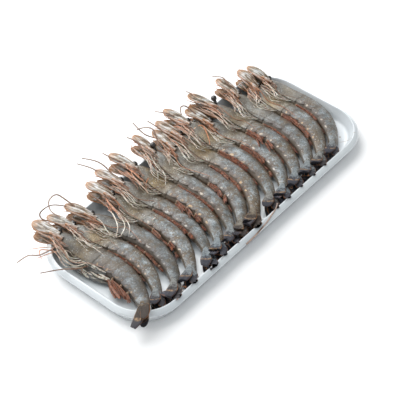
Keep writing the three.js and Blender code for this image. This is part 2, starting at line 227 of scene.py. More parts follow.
# For each prawn: where its middle crosses Y = 0, the tip of its head, the tip of its fan, the angle
# in degrees that the tail has turned to, how golden its chest is, and how dark its shell.
ROW = [
    (-141, (-157, 93), (-184, -69), 80, 0.9, 0.85),
    (-119, (-142, 88), (-151, -66), 50, 0.8, 0.2),
    (-96, (-121, 85), (-134, -70), 60, 0.1, 0.85),
    (-72, (-84, 90), (-113, -71), 58, 0.5, 0.2),
    (-52, (-66, 95), (-82, -71), 50, 0.3, 0.35),
    (-30, (-40, 100), (-68, -71), 52, 0.9, 0.2),
    (-12, (-4, 100), (-47, -70), 52, 0.5, 0.35),
    (11, (15, 90), (-35, -70), 52, 0.4, 0.5),
    (31, (26, 96), (-16, -70), 56, 0.9, 0.1),
    (51, (45, 102), (13, -70), 56, 0.8, 0.25),
    (74, (61, 85), (32, -71), 54, 0.4, 0.35),
    (94, (80, 98), (52, -70), 58, 0.6, 0.3),
    (116, (119, 91), (73, -70), 58, 0.2, 0.6),
    (140, (145, 83), (92, -70), 58, 0.9, 0.3),
    (161, (156, 79), (114, -69), 60, 0.5, 0.55),
]


def smoothly(value, low, high):
    """0 below low, 1 above high, and a soft step between."""
    share = min(1, max(0, (value - low) / (high - low)))
    return share * share * (3 - 2 * share)


def measure(table, distance):
    """The measure at a distance, on a soft curve through the table's rows."""
    last = len(table) - 1
    if distance <= table[0][0]:
        return table[0][1]
    if distance >= table[last][0]:
        return table[last][1]
    row = next(number for number in range(last) if table[number + 1][0] >= distance)
    (x1, y1), (x2, y2) = table[row], table[row + 1]
    before, after = table[max(0, row - 1)], table[min(last, row + 2)]
    share = (distance - x1) / (x2 - x1)
    slope1 = (y2 - before[1]) / (x2 - before[0]) * (x2 - x1)
    slope2 = (after[1] - y1) / (after[0] - x1) * (x2 - x1)
    return (
        y1 * (2 * share**3 - 3 * share**2 + 1) + slope1 * (share**3 - 2 * share**2 + share)
        + y2 * (3 * share**2 - 2 * share**3) + slope2 * (share**3 - share**2)
    )


class Lie:
    """How one prawn lies in the dish: takes places on a straight prawn to the dish."""

    def __init__(self, number):
        middle, head, tail, turn, self.golden, self.dark = ROW[number]
        self.tail_run = TAIL_CLIMB if number == OVER_RIM else TAIL_LEAN
        self.tail_share = 1 if number == OVER_RIM else TAIL_LEAN_SHARE
        waist = Vector((middle, 0))
        head_tip, tail_tip = Vector(head), Vector(tail)
        reach = (waist - tail_tip).length
        angle = math.radians(turn)
        toward_tail = Vector((-math.sin(angle), -math.cos(angle)))
        front = [head_tip, head_tip.lerp(waist, 0.35), Vector((middle, head[1] * 0.4)), waist]
        rear = [waist, Vector((middle, -reach * 0.45)), tail_tip - toward_tail * reach * 0.32, tail_tip]
        self.points = []
        for curve in (front, rear):
            for step in range(CURVE_STEPS):
                t = step / CURVE_STEPS
                weights = ((1 - t) ** 3, 3 * t * (1 - t) ** 2, 3 * t * t * (1 - t), t**3)
                self.points.append(sum((w * p for w, p in zip(weights, curve)), Vector((0, 0))))
        self.points.append(tail_tip)
        self.lengths = [0]
        for one, other in zip(self.points, self.points[1:]):
            self.lengths.append(self.lengths[-1] + (other - one).length)
        self.size = self.lengths[-1] / PRAWN_LENGTH
        spacing = middle - ROW[number - 1][0]
        leaning = min(LARGEST_ROLL, max(USUAL_ROLL, USUAL_ROLL + ROLL_PER_MM * (USUAL_SPACING - spacing)))
        self.roll = math.radians(FLAT_ROLL if number == 0 else leaning)
        table_steps = int((PRAWN_LENGTH + 2 * TABLE_MARGIN) / TABLE_STEP)
        self.table = [self.work_out(step * TABLE_STEP - TABLE_MARGIN) for step in range(table_steps + 1)]

    def on_route(self, distance):
        wanted = min(1, max(0, distance / PRAWN_LENGTH)) * self.lengths[-1]
        low, high = 0, len(self.lengths) - 1
        while high - low > 1:
            half = (low + high) // 2
            low, high = (half, high) if self.lengths[half] <= wanted else (low, half)
        share = (wanted - self.lengths[low]) / (self.lengths[high] - self.lengths[low])
        return self.points[low].lerp(self.points[high], share)

    def middle_at(self, distance):
        x, y = self.on_route(distance)
        into_corner = max(0, abs(x) - (DISH_LENGTH / 2 - DISH_CORNER))
        rim = DISH_WIDTH / 2 - DISH_CORNER + math.sqrt(max(0, DISH_CORNER**2 - into_corner**2))
        tail_rise = self.tail_share * smoothly(-y, rim - self.tail_run, rim - 5)
        climb = max(smoothly(y, rim - HEAD_CLIMB, rim - 4), tail_rise)
        resting = math.hypot(
            measure(BACK_HEIGHT, distance) * math.sin(self.roll),
            measure(HALF_THICKNESS, distance) * math.cos(self.roll),
        )
        height = DISH_FLOOR + self.size * (resting + CLEARANCE) + (DISH_HEIGHT - DISH_FLOOR) * climb
        return Vector((x, y, height))

    def work_out(self, distance):
        along = (self.middle_at(distance + 3) - self.middle_at(distance - 3)).normalized()
        backward = Vector((0, 0, 1)).cross(along).normalized()
        sideways = along.cross(backward)
        back = backward * math.cos(self.roll) - sideways * math.sin(self.roll)
        left = sideways * math.cos(self.roll) + backward * math.sin(self.roll)
        return self.middle_at(distance), back, left

    def bend(self, place):
        """The place in the dish, in mm, of a place on the straight prawn."""
        step = min(len(self.table) - 1.001, max(0, (place.x + TABLE_MARGIN) / TABLE_STEP))
        row = int(step)
        share = step - row
        (middle1, back1, left1), (middle2, back2, left2) = self.table[row], self.table[row + 1]
        middle, back, left = middle1.lerp(middle2, share), back1.lerp(back2, share), left1.lerp(left2, share)
        return middle + back * (place.y * self.size) + left * (place.z * self.size)


DEEPEST = 12


def clear_of(rooms, point, gap):
    """The point, moved out of what it lies on to a small gap over its surface."""
    for room in rooms:
        nearest, normal, _, away = room.find_nearest(point, DEEPEST)
        if nearest is not None and ((nearest - point).dot(normal) > 0.4 * away or away < gap):
            point = nearest + normal * gap
    return point


def tube(sides, rings, place):
    """A closed tube whose corners go where a function of ring and side says. The function gives a
    place, two numbers for the map that runs along it, and two for the map of its rings."""
    bm = bmesh.new()
    bmesh.ops.create_cone(bm, cap_ends=True, segments=sides, radius1=1, radius2=1, depth=1)
    lengthwise = [edge for edge in bm.edges if abs(edge.verts[0].co.z - edge.verts[1].co.z) > 0.5]
    if rings > 2:
        bmesh.ops.subdivide_edges(bm, edges=lengthwise, cuts=rings - 2)
    maps = {}
    for corner in bm.verts:
        ring = round((corner.co.z + 0.5) * (rings - 1))
        side = round(math.atan2(corner.co.y, corner.co.x) / (2 * math.pi) * sides) % sides
        corner.co, along, bands = place(ring, side)
        maps[corner] = (along, bands)
    layers = [bm.loops.layers.uv.new("along"), bm.loops.layers.uv.new("bands")]
    for face in bm.faces:
        for loop in face.loops:
            for layer, values in zip(layers, maps[loop.vert]):
                loop[layer].uv = values
    return bm


def joined(parts):
    """One mesh of several."""
    whole = bmesh.new()
    for part in parts:
        mesh = bpy.data.meshes.new("part")
        part.to_mesh(mesh)
        part.free()
        whole.from_mesh(mesh)
        bpy.data.meshes.remove(mesh)
    return whole


# Rings of corners along the shell: station, fullness, phase within its ring, and ring number.
SHELL_RINGS = [(BROW - 3.5, 0.3, 0, 0), (BROW - 2.5, 0.7, 0, 0), (BROW - 1, 0.92, 0.02, 0)]
SHELL_RINGS += [(BROW + step * 2.1, 1, step / 21, 0) for step in range(20)]
SHELL_RINGS += [(NECK - 1.2, 1.02, 0.95, 0), (NECK + 0.4, 1.045, 0.99, 0), (NECK + 0.9, 1.03, 1, 0)]
RING_PHASES = [
    (0, 0.98), (0.07, 0.986), (0.17, 0.991), (0.3, 0.996), (0.43, 1), (0.56, 1.001), (0.69, 1.003),
    (0.8, 1.006), (0.88, 1.01), (0.94, 1.014), (0.98, 1.008),
]
ring_start = NECK
for ring_number, ring_share in enumerate(RING_SHARES):
    ring_length = ring_share * (TAIL_ROOT - NECK)
    for phase, fullness in RING_PHASES:
        ring_place = ring_start + max(0.12, phase) * ring_length + 0.6
        SHELL_RINGS.append((ring_place, fullness, phase, ring_number + 1))
    ring_start += ring_length
SHELL_RINGS += [(TAIL_ROOT + 1.6, 0.7, 1, 6), (TAIL_ROOT + 2.2, 0.3, 1, 6)]
FLANK_STEPS = 12
BELLY_STEPS = 5
SHELL_SIDES = 2 * (FLANK_STEPS + 1 + BELLY_STEPS)
# How far round from the back the side plates reach, in degrees, on the shield and on a ring.
SHIELD_EDGE = 150
RING_EDGE = 148
LOBE_RISE = 8
BELLY_TUCK = 0.86
RING_SLANT = 1.8
SKIN_UNEVENNESS = 0.12


def shell(number, lie, rooms):
    """The shield and rings of one prawn. The side plates end in rounded lobes, and the belly is
    tucked in between them."""
    shift = number * 37.0

    def place(ring, side):
        station, fullness, phase, band = SHELL_RINGS[ring]
        half = SHELL_SIDES // 2
        step = side if side <= half else SHELL_SIDES - side
        hand = 1 if side <= half else -1
        lobes = 1 if 1 <= band <= 5 else 0
        lobe = LOBE_RISE * lobes * abs(2 * phase - 1) ** 3
        edge = math.radians(SHIELD_EDGE if band == 0 else RING_EDGE - lobe)
        tucked = step > FLANK_STEPS
        if not tucked:
            angle = edge * step / FLANK_STEPS
            around = step / FLANK_STEPS
        else:
            angle = edge + (math.pi - edge) * (step - FLANK_STEPS - 1) / BELLY_STEPS
            around = 1.1 + (step - FLANK_STEPS) / 10
        depth = BELLY_TUCK if tucked else 1 + 0.015 * lobes * (step / FLANK_STEPS) ** 4
        ringed = smoothly(station, BROW + 12, NECK) * smoothly(-station, -TAIL_ROOT, -132)
        station += RING_SLANT * math.sin(angle) ** 2 * ringed
        up_down = BACK_HEIGHT if math.cos(angle) >= 0 else BELLY_DEPTH
        groove = 0
        # Two shallow grooves cross the shield's side.
        if band == 0:
            line = 47 + 9 * math.cos(angle)
            groove = 0.035 * math.exp(-(((station - line) / 1.5) ** 2)) * smoothly(angle, 0.25, 0.6)
            second = 60 + 5 * math.cos(2 * angle)
            groove += 0.02 * math.exp(-(((station - second) / 1.8) ** 2)) * smoothly(angle, 0.9, 1.3)
        full = fullness * depth * (1 - groove)
        rough = SKIN_UNEVENNESS * noise.noise(Vector((station * 0.12, angle * 2, shift)))
        up = math.cos(angle) * (measure(up_down, station) * full + rough)
        out = math.sin(angle) * (measure(HALF_THICKNESS, station) * full + rough)
        at = clear_of(rooms, lie.bend(Vector((station, up, hand * out))), GAP)
        return at, (station / PRAWN_LENGTH, around), (phase, band / 8 + 0.05)

    return tube(SHELL_SIDES, len(SHELL_RINGS), place)


def wet_chitin():
    """Raw prawn shell: clear wet chitin over pale flesh, so cool grey with soft clouds, peppered with brown
    pigment cells that crowd along the back, the ring edges and the chest. Painted shade adds to the dark back
    where it slips under the next prawn and darkens the tucked belly. Tiny pale flecks are painted glints of
    the wet surface."""
    material, node, shader = new_finish(
        "wet_raw_prawn_chitin", Roughness=0.47, IOR=1.45, Coat_Weight=0.6, Coat_Roughness=0.06,
        Subsurface_Weight=0.12, Subsurface_Scale=0.004, Subsurface_Radius=(1, 0.7, 0.5),
    )
    place = node("TexCoord").outputs["Object"]
    body_place = node("UVMap", uv_map="along")
    along = node("SeparateXYZ", [body_place])
    bands = node("SeparateXYZ", [node("UVMap", uv_map="bands")])
    station, around, phase = along.outputs["X"], along.outputs["Y"], bands.outputs["X"]
    golden = node("Attribute", attribute_name="golden").outputs["Fac"]
    # Clouds of 10 mm, mottling of 3 mm, and pigment cells drawn at 1.2 mm so that they show.
    cloud = node("TexNoise", {"Vector": place, "Scale": 95, "Detail": 3, "Roughness": 0.6})
    patch = node("TexNoise", {"Vector": place, "Scale": 52, "Detail": 5, "Roughness": 0.7})
    mottle = node("TexNoise", {"Vector": place, "Scale": 330, "Detail": 4, "Roughness": 0.65})
    pepper = node("TexNoise", {"Vector": place, "Scale": 900, "Detail": 2, "Roughness": 0.7})
    grey = node("ValToRGB", [cloud], stops=[(0.34, "#565b5b"), (0.66, "#b9c4c9"), (0.52, "#8f999d")])
    # Brown-olive patches where more pigment shows through.
    pigment = node("Math", [mottle, 0.7, patch], operation="MULTIPLY_ADD")
    tan_share = node("MapRange", [pigment, 0.78, 0.98, 0, 0.85])
    tanned = node("Mix", {0: tan_share, 6: grey, 7: "#765f3d"})
    olive = node("ValToRGB", [cloud], stops=[(0.3, "#4c4230"), (0.7, "#857961")])
    gold = node("ValToRGB", [cloud], stops=[(0.3, "#6c5632"), (0.7, "#ab905b")])
    # Golden liver shows through the rear half of the chest; the front is greyer.
    rear_half = node("Math", [cloud, 0.1, station], operation="MULTIPLY_ADD")
    liver_zone = node("MapRange", [rear_half, 0.29, 0.36, 0.1])
    liver = node("Math", [golden, liver_zone], operation="MULTIPLY")
    grey_share = node("MapRange", [patch, 0.4, 0.6, 0, 0.7])
    front = node("Mix", {0: grey_share, 6: olive, 7: grey})
    chest = node("Mix", {0: liver, 6: front, 7: gold})
    wavy = node("Math", [mottle, 0.08, station], operation="MULTIPLY_ADD")
    ragged = node("Math", [patch, 0.3, wavy], operation="MULTIPLY_ADD")
    chest_share = node("MapRange", [ragged, 0.54, 0.66, 0.95, 0])
    coat = node("Mix", {0: chest_share, 6: tanned, 7: chest})
    # Fine wrinkles run round the body, drawn about 1.5 mm apart so that they show.
    wrinkle_place = node("VectorMath", [body_place, (120, 5, 1)], operation="MULTIPLY")
    wrinkle = node("TexNoise", {"Vector": wrinkle_place, "Scale": 1, "Detail": 4, "Roughness": 0.6})
    wrinkle_share = node("MapRange", [wrinkle, 0.5, 0.66, 0, 0.5])
    # They are deepest over the back of the last rings.
    rear = node("MapRange", [station, 0.66, 0.78, 0.7, 1.9])
    upper = node("MapRange", [around, 0.3, 0.7, 1, 0.45])
    depth = node("Math", [rear, upper], operation="MULTIPLY")
    wrinkled_share = node("Math", [wrinkle_share, depth], operation="MULTIPLY", use_clamp=True)
    # A darker brown back, with a ragged lower limit: partly the back's own pigment, partly painted shade
    # where the back slips under the next prawn.
    limit = node("Math", [cloud, 0.3, around], operation="MULTIPLY_ADD")
    back_pigment_and_shade_share = node("MapRange", [limit, 0.26, 0.74, 0.95, 0])
    # The ridge itself is darkest.
    ridge_share = node("MapRange", [limit, 0.2, 0.46, 0.85, 0])
    # Each ring darkens to brown towards its rear edge, broken by the patches.
    inner_ring = node("MapRange", [bands.outputs["Y"], 0.76, 0.78, 1, 0])
    broken = node("MapRange", [patch, 0.35, 0.6, 0.5])
    seam = node("MapRange", [phase, 0.74, 0.97])
    thinner = node("MapRange", [around, 0.2, 0.6, 0.8, 0.22])
    seam_kept = node("Math", [broken, thinner], operation="MULTIPLY")
    seam_share = node("Math", [seam, seam_kept], operation="MULTIPLY")
    pepper_share = node("MapRange", [pepper, 0.45, 0.64, 0, 0.7])
    # Painted glints: tiny pale flecks in the base colour that stand in for small highlights on the wet shell.
    glint_noise = node("TexNoise", {"Vector": place, "Scale": 620, "Detail": 1, "Roughness": 0.5})
    painted_glint_share = node("MapRange", [glint_noise, 0.66, 0.72, 0, 0.6])
    # The side plates' lower edges are red-brown, with a small cream or yellow spot on most rings.
    on_tail = node("MapRange", [station, 0.43, 0.46])
    low = node("Math", [mottle, 0.16, around], operation="MULTIPLY_ADD")
    low_edge = node("MapRange", [low, 0.84, 1.06, 0, 0.8])
    ring_zone = node("Math", [on_tail, inner_ring], operation="MULTIPLY")
    hem = node("Math", [low_edge, ring_zone], operation="MULTIPLY")
    # The spot's distance in mm: a ring is about 12 mm long and a flank 24 mm round, and the clouds
    # shift the spot by 1 or 2 mm.
    drift = node("Math", [patch, 1.6, -1.35], operation="MULTIPLY_ADD")
    shifted = node("Math", [phase, drift])
    across = node("Math", [shifted, 12], operation="MULTIPLY")
    down = node("Math", [around, 24, -22.3], operation="MULTIPLY_ADD")
    offset = node("CombineXYZ", [across, down])
    away = node("VectorMath", [offset], operation="LENGTH").outputs["Value"]
    rounder = node("Math", [mottle, 1.8, away], operation="MULTIPLY_ADD")
    rough_away = node("Math", [golden, -0.35, rounder], operation="MULTIPLY_ADD")
    near_spot = node("MapRange", [rough_away, 1.6, 2.2, 0.9, 0])
    favoured = node("Math", [golden, 0.04, patch], operation="MULTIPLY_ADD")
    kept = node("MapRange", [favoured, 0.46, 0.54])
    spot_kept = node("Math", [near_spot, kept], operation="MULTIPLY")
    spot = node("Math", [spot_kept, ring_zone], operation="MULTIPLY")
    yellow = node("MapRange", [golden, 0.3, 0.95, 0, 0.85])
    spot_colour = node("Mix", {0: yellow, 6: "#e2dccf", 7: "#c08f45"})
    # Painted shade: the tucked belly between the side plates is darkened to grey-brown, standing in for the
    # shadow of the body over it.
    under = node("MapRange", [around, 1.02, 1.12, 0, 0.75])
    dark = node("Attribute", attribute_name="dark").outputs["Fac"]
    dark_share = node("Math", [dark, 0.5], operation="MULTIPLY")
    for share, tint in [
        (wrinkled_share, "#4e463a"), (back_pigment_and_shade_share, "#765d3a"), (ridge_share, "#4b3b27"),
        (seam_share, "#473526"), (pepper_share, "#463a2b"), (painted_glint_share, "#d3d6d3"),
        (hem, "#574132"), (spot, spot_colour), (under, "#5f503c"), (dark_share, "#3b3d3e"),
    ]:
        coat = node("Mix", {0: share, 6: coat, 7: tint})
    grain = node("Bump", {"Height": mottle, "Strength": 0.5, "Distance": 0.0006})
    # The water film lies in drops and wrinkles, so its lights are small and broken.
    film = node("Bump", {"Height": pepper, "Strength": 1, "Distance": 0.001})
    fill(shader, {"Base Color": coat, "Normal": grain, "Coat Normal": film})
    return material


def pass_on(piece, name, value):
    """Gives every corner of a piece the same number, for its material to read."""
    layer = piece.data.attributes.new(name, "FLOAT", "POINT")
    layer.data.foreach_set("value", [value] * len(piece.data.vertices))


def prawn_layer(number, kind, parts, material):
    """One prawn's parts of one kind, joined into a piece."""
    return finished("prawn_%02d_%s" % (number + 1, kind), joined(parts), material)


chitin = wet_chitin()
lies = [Lie(number) for number in range(len(ROW))]
bodies = []
for number, lie in enumerate(lies):
    rooms = [dish_room] + bodies[-3:]
    skin = shell(number, lie, rooms)
    bodies.append(BVHTree.FromBMesh(skin))
    prawn = finished("prawn_%02d_shell" % (number + 1), skin, chitin)
    pass_on(prawn, "golden", lie.golden)
    pass_on(prawn, "dark", lie.dark)
    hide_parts("prawn_%02d" % (number + 1))


# Fleck
# A small white fleck of curdled flesh, flat and round, sticks to the side of the fourth prawn.

FLECK_PLACE = (-74.4, 7, 24)
FLECK_RADIUS = 2.2


def curdled_flesh():
    """Curdled prawn flesh: nearly white, damp and slightly translucent, so it glows softly."""
    material, node, shader = new_finish(
        "curdled_flesh", Roughness=0.4, Subsurface_Weight=0.3, Subsurface_Scale=0.002,
    )
    place = node("TexCoord").outputs["Object"]
    cloud = node("TexNoise", {"Vector": place, "Scale": 500, "Detail": 3})
    white = node("ValToRGB", [cloud], stops=[(0.35, "#cfcbc1"), (0.65, "#e9e7e1")])
    fill(shader, {"Base Color": white})
    return material


fleck_mesh = bmesh.new()
bmesh.ops.create_icosphere(fleck_mesh, subdivisions=3, radius=FLECK_RADIUS)
fleck_at, fleck_up, _, _ = bodies[3].find_nearest(Vector(FLECK_PLACE), 2 * DEEPEST)
bmesh.ops.scale(fleck_mesh, vec=(1, 1, 0.35), verts=fleck_mesh.verts)
bmesh.ops.rotate(
    fleck_mesh, matrix=fleck_up.to_track_quat("Z", "Y").to_matrix(), verts=fleck_mesh.verts,
)
bmesh.ops.translate(fleck_mesh, vec=fleck_at, verts=fleck_mesh.verts)
finished("white_fleck", fleck_mesh, curdled_flesh())


# Head blades
# Over the head stands the rostrum, a stiff toothed spike of the shield. Below it reach two thin leaf
# scales, the jointed stalks of the feelers, and the two hairy mouth legs, all hinged to the head.

SPIKE_ROOT = 50
SPIKE_TIP = 4
SPIKE_TEETH = 7
TOOTH_HEIGHT = 1.3
SPIKE_THICKNESS = 1.3
SCALE_LENGTH = 30
SCALE_WIDTH = 14.5
SCALE_THICKNESS = 1.2
BLADE_CAMBER = 0.1
STALK_RADII = [1.9, 1.8, 1.3, 0.4]
MOUTH_LEG_RADII = [1.6, 1.4, 1, 0.7, 0.35]
STALK_ROOT_RADII = [2.6, 2.6, 1.2]
BRISTLES = 12
BRISTLE_RADII = [0.6, 0.45, 0.2]


def spike(lie, rooms):
    """The toothed spike: its outline is filled and given its thickness."""
    root_height = measure(BACK_HEIGHT, SPIKE_ROOT) - 1.2
    outline = [(SPIKE_ROOT, root_height)]
    for tooth in range(SPIKE_TEETH):
        share = (tooth + 0.6) / (SPIKE_TEETH + 0.8)
        along = SPIKE_ROOT + (SPIKE_TIP - SPIKE_ROOT) * share
        height = root_height + 1.7 + (6.6 - root_height - 1.7) * smoothly(share, -0.2, 1.1)
        point = height + TOOTH_HEIGHT * (1 - 0.4 * share)
        outline += [(along + 2.6, height + 0.1), (along, point), (along - 0.5, height)]
    outline += [(SPIKE_TIP, 6.4), (13, 5.4), (BROW - 8, 4.8), (BROW - 2, 4), (BROW + 8, 4)]
    bm = bmesh.new()
    corners = [bm.verts.new((x, y, -SPIKE_THICKNESS / 2)) for x, y in outline]
    face = bm.faces.new(corners)
    raised = bmesh.ops.extrude_face_region(bm, geom=[face])["geom"]
    lifted = [part for part in raised if isinstance(part, bmesh.types.BMVert)]
    bmesh.ops.translate(bm, verts=lifted, vec=(0, 0, SPIKE_THICKNESS))
    bmesh.ops.recalc_face_normals(bm, faces=bm.faces)
    bmesh.ops.triangulate(bm, faces=bm.faces)
    layers = [bm.loops.layers.uv.new("along"), bm.loops.layers.uv.new("bands")]
    for face in bm.faces:
        for loop in face.loops:
            at = loop.vert.co
            loop[layers[0]].uv = (1 - (at.x - SPIKE_TIP) / (SPIKE_ROOT - SPIKE_TIP), (at.y - 6.5) / 5)
            loop[layers[1]].uv = (0.2, 0)
    for corner in bm.verts:
        corner.co = clear_of(rooms, lie.bend(corner.co), GAP)
    return bm


def blade(length, width, thickness, pose, settle, widest=0.6, tone=0.0, sides=14, rings=16):
    """A thin cambered leaf. pose turns it from its own axes to the straight prawn's, and settle
    takes a place on the straight prawn to the dish."""

    def place(ring, side):
        share = ring / (rings - 1)
        angle = 2 * math.pi * side / sides
        rise = smoothly(share, -0.25, widest)
        fall = math.sqrt(max(0, 1 - max(0, (share - widest) / (1.02 - widest)) ** 2.2))
        half = width / 2 * (0.25 + 0.75 * rise) * fall
        across = math.cos(angle)
        rib = 0.35 * math.exp(-((across / 0.12) ** 2))
        thick = thickness * (0.5 + rib) * (0.35 + 0.65 * (1 - share))
        up = math.sin(angle) * thick + BLADE_CAMBER * width * (1 - across**2)
        at = settle(pose @ Vector((share * length, across * half, up)))
        return at, (share, across), (tone, 0)

    bm = tube(sides, rings, place)
    if pose.determinant() < 0:
        bmesh.ops.reverse_faces(bm, faces=bm.faces)
    return bm


def pose_of(turns, place, hand=1):
    """Turns about named axes in degrees, then a place, then mirrored for the right-hand side."""
    pose = Matrix.Translation(place)
    for axis, degrees in reversed(turns):
        pose = pose @ Matrix.Rotation(math.radians(degrees), 4, axis)
    if hand < 0:
        pose = Matrix.Scale(-1, 4, (0, 0, 1)) @ pose
    return pose


def limb(points, radii, tone=0.0, sides=7, spans=4):
    """A tapering round limb on a soft curve through places in the dish, with a radius at each."""
    places, sizes = [], []
    last = len(points) - 1
    for number in range(last):
        before, start = points[max(0, number - 1)], points[number]
        end, after = points[number + 1], points[min(last, number + 2)]
        for step in range(spans):
            t = step / spans
            places.append(0.5 * (
                2 * start + (end - before) * t + (2 * before - 5 * start + 4 * end - after) * t * t
                + (3 * start - before - 3 * end + after) * t**3
            ))
            sizes.append(radii[number] + (radii[number + 1] - radii[number]) * t)
    places.append(points[last])
    sizes.append(radii[last])
    frames = []
    side = Vector((0.3, 0.2, 1))
    for number, at in enumerate(places):
        along = (places[min(len(places) - 1, number + 1)] - places[max(0, number - 1)]).normalized()
        side = (side - along * side.dot(along)).normalized()
        frames.append((at, side, along.cross(side)))

    def place(ring, corner):
        at, first, second = frames[ring]
        angle = 2 * math.pi * corner / sides
        spot = at + first * (math.cos(angle) * sizes[ring]) + second * (math.sin(angle) * sizes[ring])
        return spot, (ring / (len(places) - 1), corner / sides), (tone, 0)

    return tube(sides, len(places), place)


def head_blade_chitin():
    """Thin stiff chitin of the head's blades and stalks: half-clear grey, with an orange-brown line
    along each edge and at the tip, where the pigment gathers, and dark pepper."""
    material, node, shader = new_finish(
        "head_blade_chitin", Roughness=0.34, IOR=1.45, Coat_Weight=0.4, Coat_Roughness=0.12,
    )
    place = node("TexCoord").outputs["Object"]
    along = node("SeparateXYZ", [node("UVMap", uv_map="along")])
    tone = node("SeparateXYZ", [node("UVMap", uv_map="bands")]).outputs["X"]
    mottle = node("TexNoise", {"Vector": place, "Scale": 300, "Detail": 4, "Roughness": 0.65})
    # Streaks about 2 mm wide run along each blade; the place in the dish makes them differ.
    shift = node("VectorMath", {0: place, "Scale": 30}, operation="SCALE")
    blade_place = node("UVMap", uv_map="along")
    streak_place = node("VectorMath", [blade_place, (3, 3.2, 1), shift], operation="MULTIPLY_ADD")
    streak = node("TexNoise", {"Vector": streak_place, "Scale": 1, "Detail": 2, "Roughness": 0.5})
    streaky = node("Math", [mottle, 0.35, streak], operation="MULTIPLY_ADD")
    coat = node("ValToRGB", [streaky], stops=[(0.54, "#423828"), (0.82, "#c6cacb"), (0.69, "#958b79")])
    outer = node("Math", [along.outputs["Y"]], operation="ABSOLUTE")
    ragged = node("Math", [mottle, 0.4, outer], operation="MULTIPLY_ADD")
    edge = node("MapRange", [ragged, 0.84, 1.1, 0, 0.9])
    reach = node("Math", [mottle, 0.3, along.outputs["X"]], operation="MULTIPLY_ADD")
    tip = node("MapRange", [reach, 0.85, 1.1, 0, 0.8])
    # Fine ribs run along each blade, drawn about 1.5 mm apart so that they show.
    rib_place = node("Math", [along.outputs["Y"], 9], operation="MULTIPLY")
    rib_bent = node("Math", [mottle, 5, rib_place], operation="MULTIPLY_ADD")
    rib_wave = node("Math", [rib_bent], operation="SINE")
    rib = node("MapRange", [rib_wave, 0.3, 0.95, 0, 0.5])
    red = node("ValToRGB", [mottle], stops=[(0.35, "#73381e"), (0.65, "#c37a4b")])
    for share, tint in [(edge, "#a06c45"), (tip, "#b3855c"), (rib, "#463629"), (tone, red)]:
        coat = node("Mix", {0: share, 6: coat, 7: tint})
    grain = node("Bump", {"Height": mottle, "Strength": 0.35, "Distance": 0.0005})
    fill(shader, {"Base Color": coat, "Normal": grain})
    return material


head_finish = head_blade_chitin()


def settler(lie, rooms, gap=GAP):
    """A function that takes a place on the straight prawn to the dish, clear of what it lies on."""
    return lambda place: clear_of(rooms, lie.bend(place), gap)


def rooms_under(number, own=1):
    """What a prawn's parts may lie on: the dish, the two prawns before it and, unless own is 0, itself."""
    return [dish_room] + bodies[max(0, number - 2):number + own]


for number, lie in enumerate(lies):
    rooms = rooms_under(number, own=0)
    settle = settler(lie, rooms)
    draw = random.Random(100 + number)
    parts = [spike(lie, rooms)]
    for hand in (1, -1):
        spread = draw.uniform(-3, 3)
        # The left scale lies on top; the right one shows beside it towards the belly.
        aim = 180 + spread / 2 if hand > 0 else 181 + spread / 2
        scale_pose = pose_of([("Z", aim), ("X", hand * 14)], (BROW + 2, -0.4 if hand > 0 else -3, 4.6), hand)
        length = SCALE_LENGTH if hand > 0 else SCALE_LENGTH - 4
        tone = draw.uniform(0, 0.12)
        parts.append(blade(
            length, SCALE_WIDTH, SCALE_THICKNESS, scale_pose, settle, widest=0.68, tone=tone,
        ))
        stalk = [(BROW + 3, 1.8, 1.4), (BROW - 7, 1.4, 1.7), (BROW - 15, 0.6, 1.6), (9, 0.4, 1.2)]
        mouth_leg = [
            (BROW + 12, -9, 3.2), (BROW + 2, -8.2, 4), (BROW - 8, -7.2 + spread / 2, 4),
            (BROW - 17, -6 + spread / 2, 3.6), (6, -4.4 + spread / 2, 3),
        ]
        root = [(BROW + 7, -4.4, 4.8), (BROW, -4.2, 5.4), (BROW - 7, -3.4, 4.8)]
        for route, radii, tone in (
            (stalk, STALK_RADII, 0), (mouth_leg, MOUTH_LEG_RADII, 0.25), (root, STALK_ROOT_RADII, 0.2),
        ):
            places = [settle(Vector((x, y, hand * z))) for x, y, z in route]
            parts.append(limb(places, radii, tone=tone))
    # Bristled palps round the mouth.
    for bristle in range(BRISTLES):
        start = Vector((BROW + draw.uniform(0, 16), -draw.uniform(7, 11), draw.uniform(3, 6)))
        reach = Vector((-draw.uniform(5, 9), -draw.uniform(-1, 4), draw.uniform(-0.5, 1.5)))
        path = [start, start + reach * 0.5 + Vector((0, draw.uniform(-1, 1), 0.6)), start + reach]
        tone = draw.uniform(0, 0.7)
        parts.append(limb([settle(point) for point in path], BRISTLE_RADII, tone=tone, sides=5, spans=3))
    prawn_layer(number, "head_blades", parts, head_finish)


# Eyes
# Two round black eyes on short stalks sit beside the spike, half sunk in their notch. Each is a smooth
# wet ball under a clear skin, so it shows one small bright light.

EYE_RADIUS = 3.2
EYE_STALK_RADII = [1.6, 1.8, 2.2]
# Where the left eye is on a prawn that holds it away from its head.
CLEAR_EYES = {6: (-3.3, 71.3, 30), 11: (91.5, 69.8, 30)}


def eye_jelly():
    """A prawn's eye: black pigment under a clear wet skin, faintly brown where light enters."""
    material, node, shader = new_finish("prawn_eye", Roughness=0.14, Coat_Weight=0.7, Coat_Roughness=0.04)
    place = node("TexCoord").outputs["Object"]
    depth = node("TexNoise", {"Vector": place, "Scale": 500, "Detail": 2})
    dark = node("ValToRGB", [depth], stops=[(0.3, "#0c0b0b"), (0.75, "#2b2420")])
    fill(shader, {"Base Color": dark})
    return material


